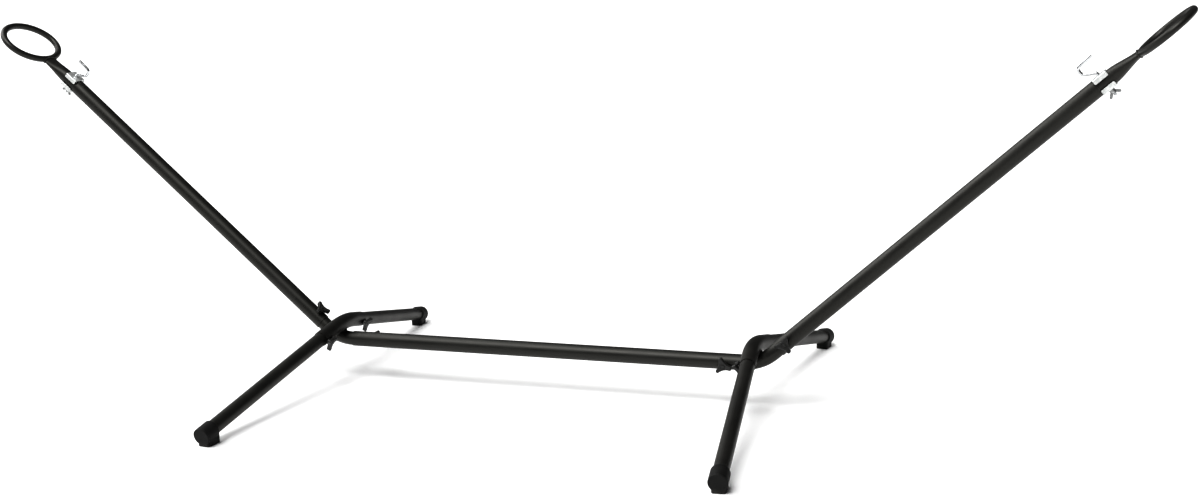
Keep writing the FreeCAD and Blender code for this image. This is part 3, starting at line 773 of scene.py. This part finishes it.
def rubber():
    """Matt mould skin with fine pebbling; floor dust clings low down."""
    material = blank_material("foot_rubber_skin")
    tree = material.node_tree
    height = add(tree, "ShaderNodeSeparateXYZ", {0: in_place(tree)}).outputs["Z"]
    low = spread(tree, height, 14.0 * mm, 0.0)
    patch = spread(tree, grain(tree, 70.0, 5.0, 0.7), 0.42, 0.72)
    mottle = spread(tree, grain(tree, 38.0, 4.0, 0.6), 0.35, 0.7)
    pebble = grain(tree, 1300.0, 2.0, 0.6)
    edges = use_group(tree, edge_wear, {"Radius": 0.9 * mm, "Amount": 0.6})["Mask"]
    colour = blended(tree, mottle, rubber_black, rubber_grey)
    dusty = numbers(tree, "MULTIPLY", low, numbers(tree, "MULTIPLY", patch, 0.55))
    colour = blended(tree, dusty, colour, rubber_dust)
    colour = blended(tree, edges, colour, nylon_rubbed)
    surface(tree, {"Base Color": colour, "Roughness": spread(tree, mottle, 0.0, 1.0, 0.60, 0.76),
                   "Specular IOR Level": 0.35, "Normal": bumped(tree, pebble, 0.10 * mm, 0.7)})
    return material


foot_skin = rubber()
for leg in leg_names:
    axis = leg_axes[leg]
    leg_tip = end_centre(leg, axis)
    drop = -math.asin(axis.z)
    flat_axis = Vector((math.cos(drop), 0, -math.sin(drop)))
    rings = cap_rings(Vector((0, 0, leg_tip.z / mm)), flat_axis)
    under_tip = Vector((leg_tip.x, leg_tip.y, 0))
    cap = make(leg + "_cap", skin(rings), standing(under_tip, Vector((0, 0, 1)), axis), foot_skin, 50.0)
    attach(cap, leg)
    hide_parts(leg[:-4] + "_foot_cap")

# ---------------------------------------------------------------------------------------------
# Saddles. Two channels of 2.5 mm sheet folded over the insert from above and from below, with
# rounded corners and a hole for the hook bolt. Bright zinc plated, with a faint brushed grain.
saddle_length = 37.0
saddle_sheet = 2.5
saddle_outside = 21.7
saddle_half = 21.9
saddle_height = 12.5
saddle_fold = 4.0
saddle_corner = 3.0
saddle_bevel = 0.35
bolt_hole = 4.3
zinc_bright = (0.88, 0.89, 0.88, 1.0)
zinc_dull = (0.60, 0.62, 0.61, 1.0)


def bored(thing, radius, start, end):
    """Cuts a round hole through a piece, between two points."""
    bm = bmesh.new()
    bmesh.ops.create_cone(bm, cap_ends=True, segments=64, radius1=radius, radius2=radius,
                          depth=(end - start).length / mm)
    middle = standing((start + end) / 2, end - start, (end - start).orthogonal())
    cutter = make("cutter", bm, middle, thing.data.materials[0])
    modifier = thing.modifiers.new("bore", "BOOLEAN")
    modifier.operation = "DIFFERENCE"
    modifier.solver = "EXACT"
    modifier.object = cutter
    settle(thing)
    bpy.data.objects.remove(cutter)


def settle(thing):
    """Puts the result of a piece's modifiers into its mesh."""
    evaluated = thing.evaluated_get(bpy.context.evaluated_depsgraph_get())
    mesh = bpy.data.meshes.new_from_object(evaluated)
    thing.modifiers.clear()
    thing.data = mesh


def saddle_rings():
    """Cross-sections of the folded channel, one behind the other; X is away from the tube."""
    rings = []
    half = saddle_length / 2
    rounding = [0.0, 0.1, 0.35, 0.8, 1.4, 2.1, saddle_corner]
    stations = [-half + gap for gap in rounding] + [-half + 6 + 5 * k for k in range(6)]
    stations += [half - gap for gap in reversed(rounding)]
    for station in stations:
        gap = half - abs(station)
        bevel = saddle_bevel - min(gap, saddle_bevel)
        left = max(saddle_corner - gap, 0.0)
        foot = saddle_outside - saddle_height + saddle_corner - math.sqrt(saddle_corner ** 2 - left ** 2)
        outer = [(foot + 0.4, saddle_half - bevel)]
        inner = [(foot + 0.4, saddle_half - saddle_sheet + bevel)]
        walls = ((outer, saddle_fold - bevel), (inner, saddle_fold - saddle_sheet + bevel))
        for k in range(9):
            turn = math.radians(90 - 11.25 * k)
            for path, reach in walls:
                path.append((saddle_outside - saddle_fold + reach * math.cos(turn),
                             saddle_half - saddle_fold + reach * math.sin(turn)))
        outer += [(saddle_outside - bevel, share * (saddle_half - saddle_fold)) for share in (0.66, 0.33)]
        inner += [(saddle_outside - saddle_sheet + bevel, share * (saddle_half - saddle_fold))
                  for share in (0.66, 0.33)]
        outer.insert(0, (foot, saddle_half - 0.4 - bevel))
        inner.insert(0, (foot, saddle_half - saddle_sheet + 0.4 + bevel))
        loop = outer + [(x, -y) for x, y in reversed(outer)] + [(x, -y) for x, y in inner] + inner[::-1]
        rings.append([Vector((x, y, station)) for x, y in loop])
    return rings


def bright_zinc():
    """Zinc bloom in soft patches with a fine grain along the sheet, brighter on the cut edges."""
    material = blank_material("saddle_zinc")
    tree = material.node_tree
    patch = grain(tree, 120.0, 4.0, 0.6)
    stretched = vectors(tree, "MULTIPLY", in_place(tree), (1.0, 0.12, 1.0)).outputs[0]
    brush = grain(tree, 900.0, 3.0, 0.6, stretched)
    edges = use_group(tree, edge_wear, {"Radius": 0.4 * mm, "Amount": 0.6})["Mask"]
    colour = blended(tree, spread(tree, patch, 0.35, 0.7), zinc_bright, zinc_dull)
    colour = blended(tree, edges, colour, zinc_bright)
    surface(tree, {"Base Color": colour, "Metallic": 0.75,
                   "Roughness": spread(tree, patch, 0.3, 0.7, 0.34, 0.50),
                   "Normal": bumped(tree, brush, 0.02 * mm, 0.6)})
    return material


saddle_zinc = bright_zinc()
for word in side_words:
    for place, way in (("top", 1), ("bottom", -1)):
        normal = arm_normals[word] * way
        saddle = make(word + "_" + place + "_channel", skin(saddle_rings()),
                      standing(hooks_at[word], arm_axes[word], normal), saddle_zinc, 30.0)
        bored(saddle, bolt_hole, hooks_at[word], hooks_at[word] + normal * (60 * mm))
        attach(saddle, word + "_insert")
        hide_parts(word + "_" + place + "_saddle")

# ---------------------------------------------------------------------------------------------
# Hook bolts. 8 mm round bar bent cold in an open hook, threaded at the foot, and chromed. The
# shank goes through both saddles and the insert; the hammock's end loop lies in the hook.
hook_radius = 4.0
hook_foot = -39.3
hook_route = [(28.7, 0.0), (45.7, -27.0), (65.2, -27.0), (67.2, 17.0)]
hook_bends = (7.0, 11.0, 11.0)
hook_tip_round = 1.2
bar_points = 28
bar_step = 1.2
thread_depth = 0.6
thread_length = 18.0
thread_steps = 8
thread_runout = 1.2
thread_chamfer = 0.9
hook_chrome_light = (0.72, 0.73, 0.74, 1.0)
hook_chrome_dark = (0.50, 0.51, 0.52, 1.0)


def bent_path(points, bends, step):
    """Points along straight runs joined by round bends."""
    path = [points[0]]
    for before, corner, after, radius in zip(points, points[1:], points[2:], bends):
        come, leave = (before - corner).normalized(), (after - corner).normalized()
        half = come.angle(leave) / 2
        middle = corner + (come + leave).normalized() * (radius / math.sin(half))
        first = corner + come * (radius / math.tan(half)) - middle
        last = corner + leave * (radius / math.tan(half)) - middle
        path += [path[-1].lerp(middle + first, share) for share in (0.33, 0.66)]
        count = max(6, round(radius * (math.pi - 2 * half) / step))
        path += [middle + first.slerp(last, k / count) * radius for k in range(count + 1)]
    path += [path[-1].lerp(points[-1], share) for share in (0.33, 0.66, 1.0)]
    return path


def hook_rings():
    """Rings of the bar from the tip of its thread to the rounded tip of the hook."""
    rings = []
    foot = Vector((hook_foot, 0, 0))
    route = [Vector((height, 0, along)) for height, along in hook_route]
    turns = [math.tau * k / bar_points for k in range(bar_points)]
    for k in range(int(thread_length / thread_pitch * thread_steps) + 1):
        gap = k * thread_pitch / thread_steps
        ease = min(1.0, gap / thread_runout, (thread_length - gap) / thread_runout)
        ring = []
        for turn in turns:
            phase = abs((gap / thread_pitch + turn / math.tau) % 1.0 - 0.5) * 2
            radius = hook_radius - thread_depth * phase * ease - max(0.0, thread_chamfer - gap)
            ring.append(foot + Vector((gap, radius * math.cos(turn), radius * math.sin(turn))))
        rings.append(ring)
    path = bent_path([foot + Vector((thread_length + 0.4, 0, 0))] + route, hook_bends, bar_step)
    over = Vector((0, 1, 0))
    for k, point in enumerate(path):
        heading = (path[min(k + 1, len(path) - 1)] - path[max(k - 1, 0)]).normalized()
        beside = heading.cross(over)
        rings.append([point + (over * math.cos(turn) + beside * math.sin(turn)) * hook_radius
                      for turn in turns])
    rim = rings.pop()
    for lean in (30, 55, 75):
        share = 1 - 0.3 * (1 - math.cos(math.radians(lean)))
        lift = hook_tip_round * math.sin(math.radians(lean)) - hook_tip_round
        rings.append([path[-1] + (point - path[-1]) * share + heading * lift for point in rim])
    return rings


def chrome():
    """Bright chrome with hair scratches, darker on its rubbed edges."""
    material = blank_material("hook_bright_chrome")
    tree = material.node_tree
    cloud = grain(tree, 90.0, 3.0, 0.6)
    hair = spread(tree, grain(tree, 2200.0, 2.0, 0.7), 0.62, 0.7)
    edges = use_group(tree, edge_wear, {"Radius": 0.3 * mm, "Amount": 0.4})["Mask"]
    colour = blended(tree, spread(tree, cloud, 0.4, 0.7), hook_chrome_light, hook_chrome_dark)
    colour = blended(tree, edges, colour, plating_dark)
    surface(tree, {"Base Color": colour, "Metallic": 1.0,
                   "Roughness": spread(tree, cloud, 0.3, 0.7, 0.10, 0.20),
                   "Normal": bumped(tree, hair, 0.01 * mm, 0.5)})
    return material


hook_finish = chrome()
for word in side_words:
    place = standing(hooks_at[word], arm_axes[word], arm_normals[word])
    hook = make(word + "_hook_bar", skin(hook_rings()), place, hook_finish, 35.0)
    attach(hook, word + "_hook_bolt")
    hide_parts(word + "_hook")

# ---------------------------------------------------------------------------------------------
# Washers and wing nuts, under the bottom saddles. The washer is punched from sheet, with one
# rolled edge. The wing nut is die cast in zinc: a low cone with two round-tipped wings.
washer_inner = 4.3
washer_outer = 9.0
washer_thick = 1.6
nut_base = 7.5
nut_neck = 5.5
nut_tall = 9.0
wing_root = (2.75, 4.5)
wing_tip = (12.5, 13.5)
wing_width = 7.0
wing_thick = 3.4
nut_bore = 4.05
cast_grain = 0.35
cast_light = (0.50, 0.51, 0.51, 1.0)
cast_dark = (0.20, 0.20, 0.20, 1.0)


def washer_rings():
    """Rings round the washer's section: bore, face, rolled outer edge, face."""
    section = [(washer_inner, 0.3), (washer_inner, 1.3), (washer_inner + 0.2, washer_thick),
               (washer_outer - 0.9, washer_thick), (washer_outer - 0.35, 1.4), (washer_outer - 0.05, 0.9),
               (washer_outer, 0.35), (washer_outer - 0.1, 0.05), (washer_outer - 0.4, 0.0),
               (washer_inner + 0.3, 0.0)]
    return [[polar(radius, 5 * k) + Vector((0, 0, height)) for k in range(72)]
            for radius, height in section]


def wing_nut_body():
    """Cone and two wings as closed, overlapping shapes, to be run together."""
    bm = bmesh.new()
    bmesh.ops.create_cone(bm, cap_ends=True, segments=48, radius1=nut_base, radius2=nut_neck,
                          depth=nut_tall, matrix=Matrix.Translation((0, 0, nut_tall / 2)))
    for side in (-1, 1):
        root = Vector((side * wing_root[0], 0, wing_root[1]))
        tip = Vector((side * wing_tip[0], 0, wing_tip[1]))
        along = (tip - root).normalized()
        beside = Vector((along.z, 0, -along.x)) * (wing_width / 2)
        outline = [root - beside, root + beside]
        outline += [tip + beside * math.cos(turn) + along * (math.sin(turn) * wing_width / 2)
                    for turn in (math.pi * k / 12 for k in range(13))]
        rows = [[bm.verts.new(point + Vector((0, y * wing_thick / 2, 0))) for point in outline]
                for y in (-1, 1)]
        for k in range(len(outline)):
            bm.faces.new((rows[0][k - 1], rows[0][k], rows[1][k], rows[1][k - 1]))
        for row in rows:
            bm.faces.new(row)
    return bm


def cast_zinc():
    """Grey die casting: soft sand-like skin in cloudy patches, rubbed bright on the wings."""
    material = blank_material("wing_nut_casting")
    tree = material.node_tree
    cloud = grain(tree, 260.0, 4.0, 0.6)
    sand = grain(tree, 1700.0, 2.0, 0.6)
    edges = use_group(tree, edge_wear, {"Radius": 0.6 * mm, "Amount": 0.8})["Mask"]
    colour = blended(tree, spread(tree, cloud, 0.35, 0.7), cast_dark, cast_light)
    colour = blended(tree, edges, colour, plating_light)
    surface(tree, {"Base Color": colour, "Metallic": 0.9,
                   "Roughness": spread(tree, cloud, 0.3, 0.7, 0.36, 0.5),
                   "Normal": bumped(tree, sand, 0.05 * mm, 0.6)})
    return material


wing_zinc = cast_zinc()
washer_plating = plated_steel("washer_plating", 0.30)
for word in side_words:
    under = hooks_at[word] - arm_normals[word] * (saddle_outside * mm)
    place = standing(under, -arm_normals[word], arm_axes[word])
    washer = make(word + "_washer_disc", skin(washer_rings(), True), place, washer_plating)
    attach(washer, word + "_insert")
    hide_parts(word + "_washer")
    under -= arm_normals[word] * (washer_thick * mm)
    place = standing(under, -arm_normals[word], arm_axes[word])
    nut = make(word + "_wing_casting", wing_nut_body(), place, wing_zinc)
    melt = nut.modifiers.new("melt", "REMESH")
    melt.mode = "VOXEL"
    melt.voxel_size = cast_grain * mm
    soften = nut.modifiers.new("soften", "SMOOTH")
    soften.factor = 0.5
    soften.iterations = 6
    settle(nut)
    bored(nut, nut_bore, under + arm_normals[word] * (2 * mm), under - arm_normals[word] * (20 * mm))
    nut.data.shade_smooth()
    nut.data.set_sharp_from_angle(angle=math.radians(45.0))
    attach(nut, word + "_wing_nut")
    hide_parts(word + "_wing_nut")
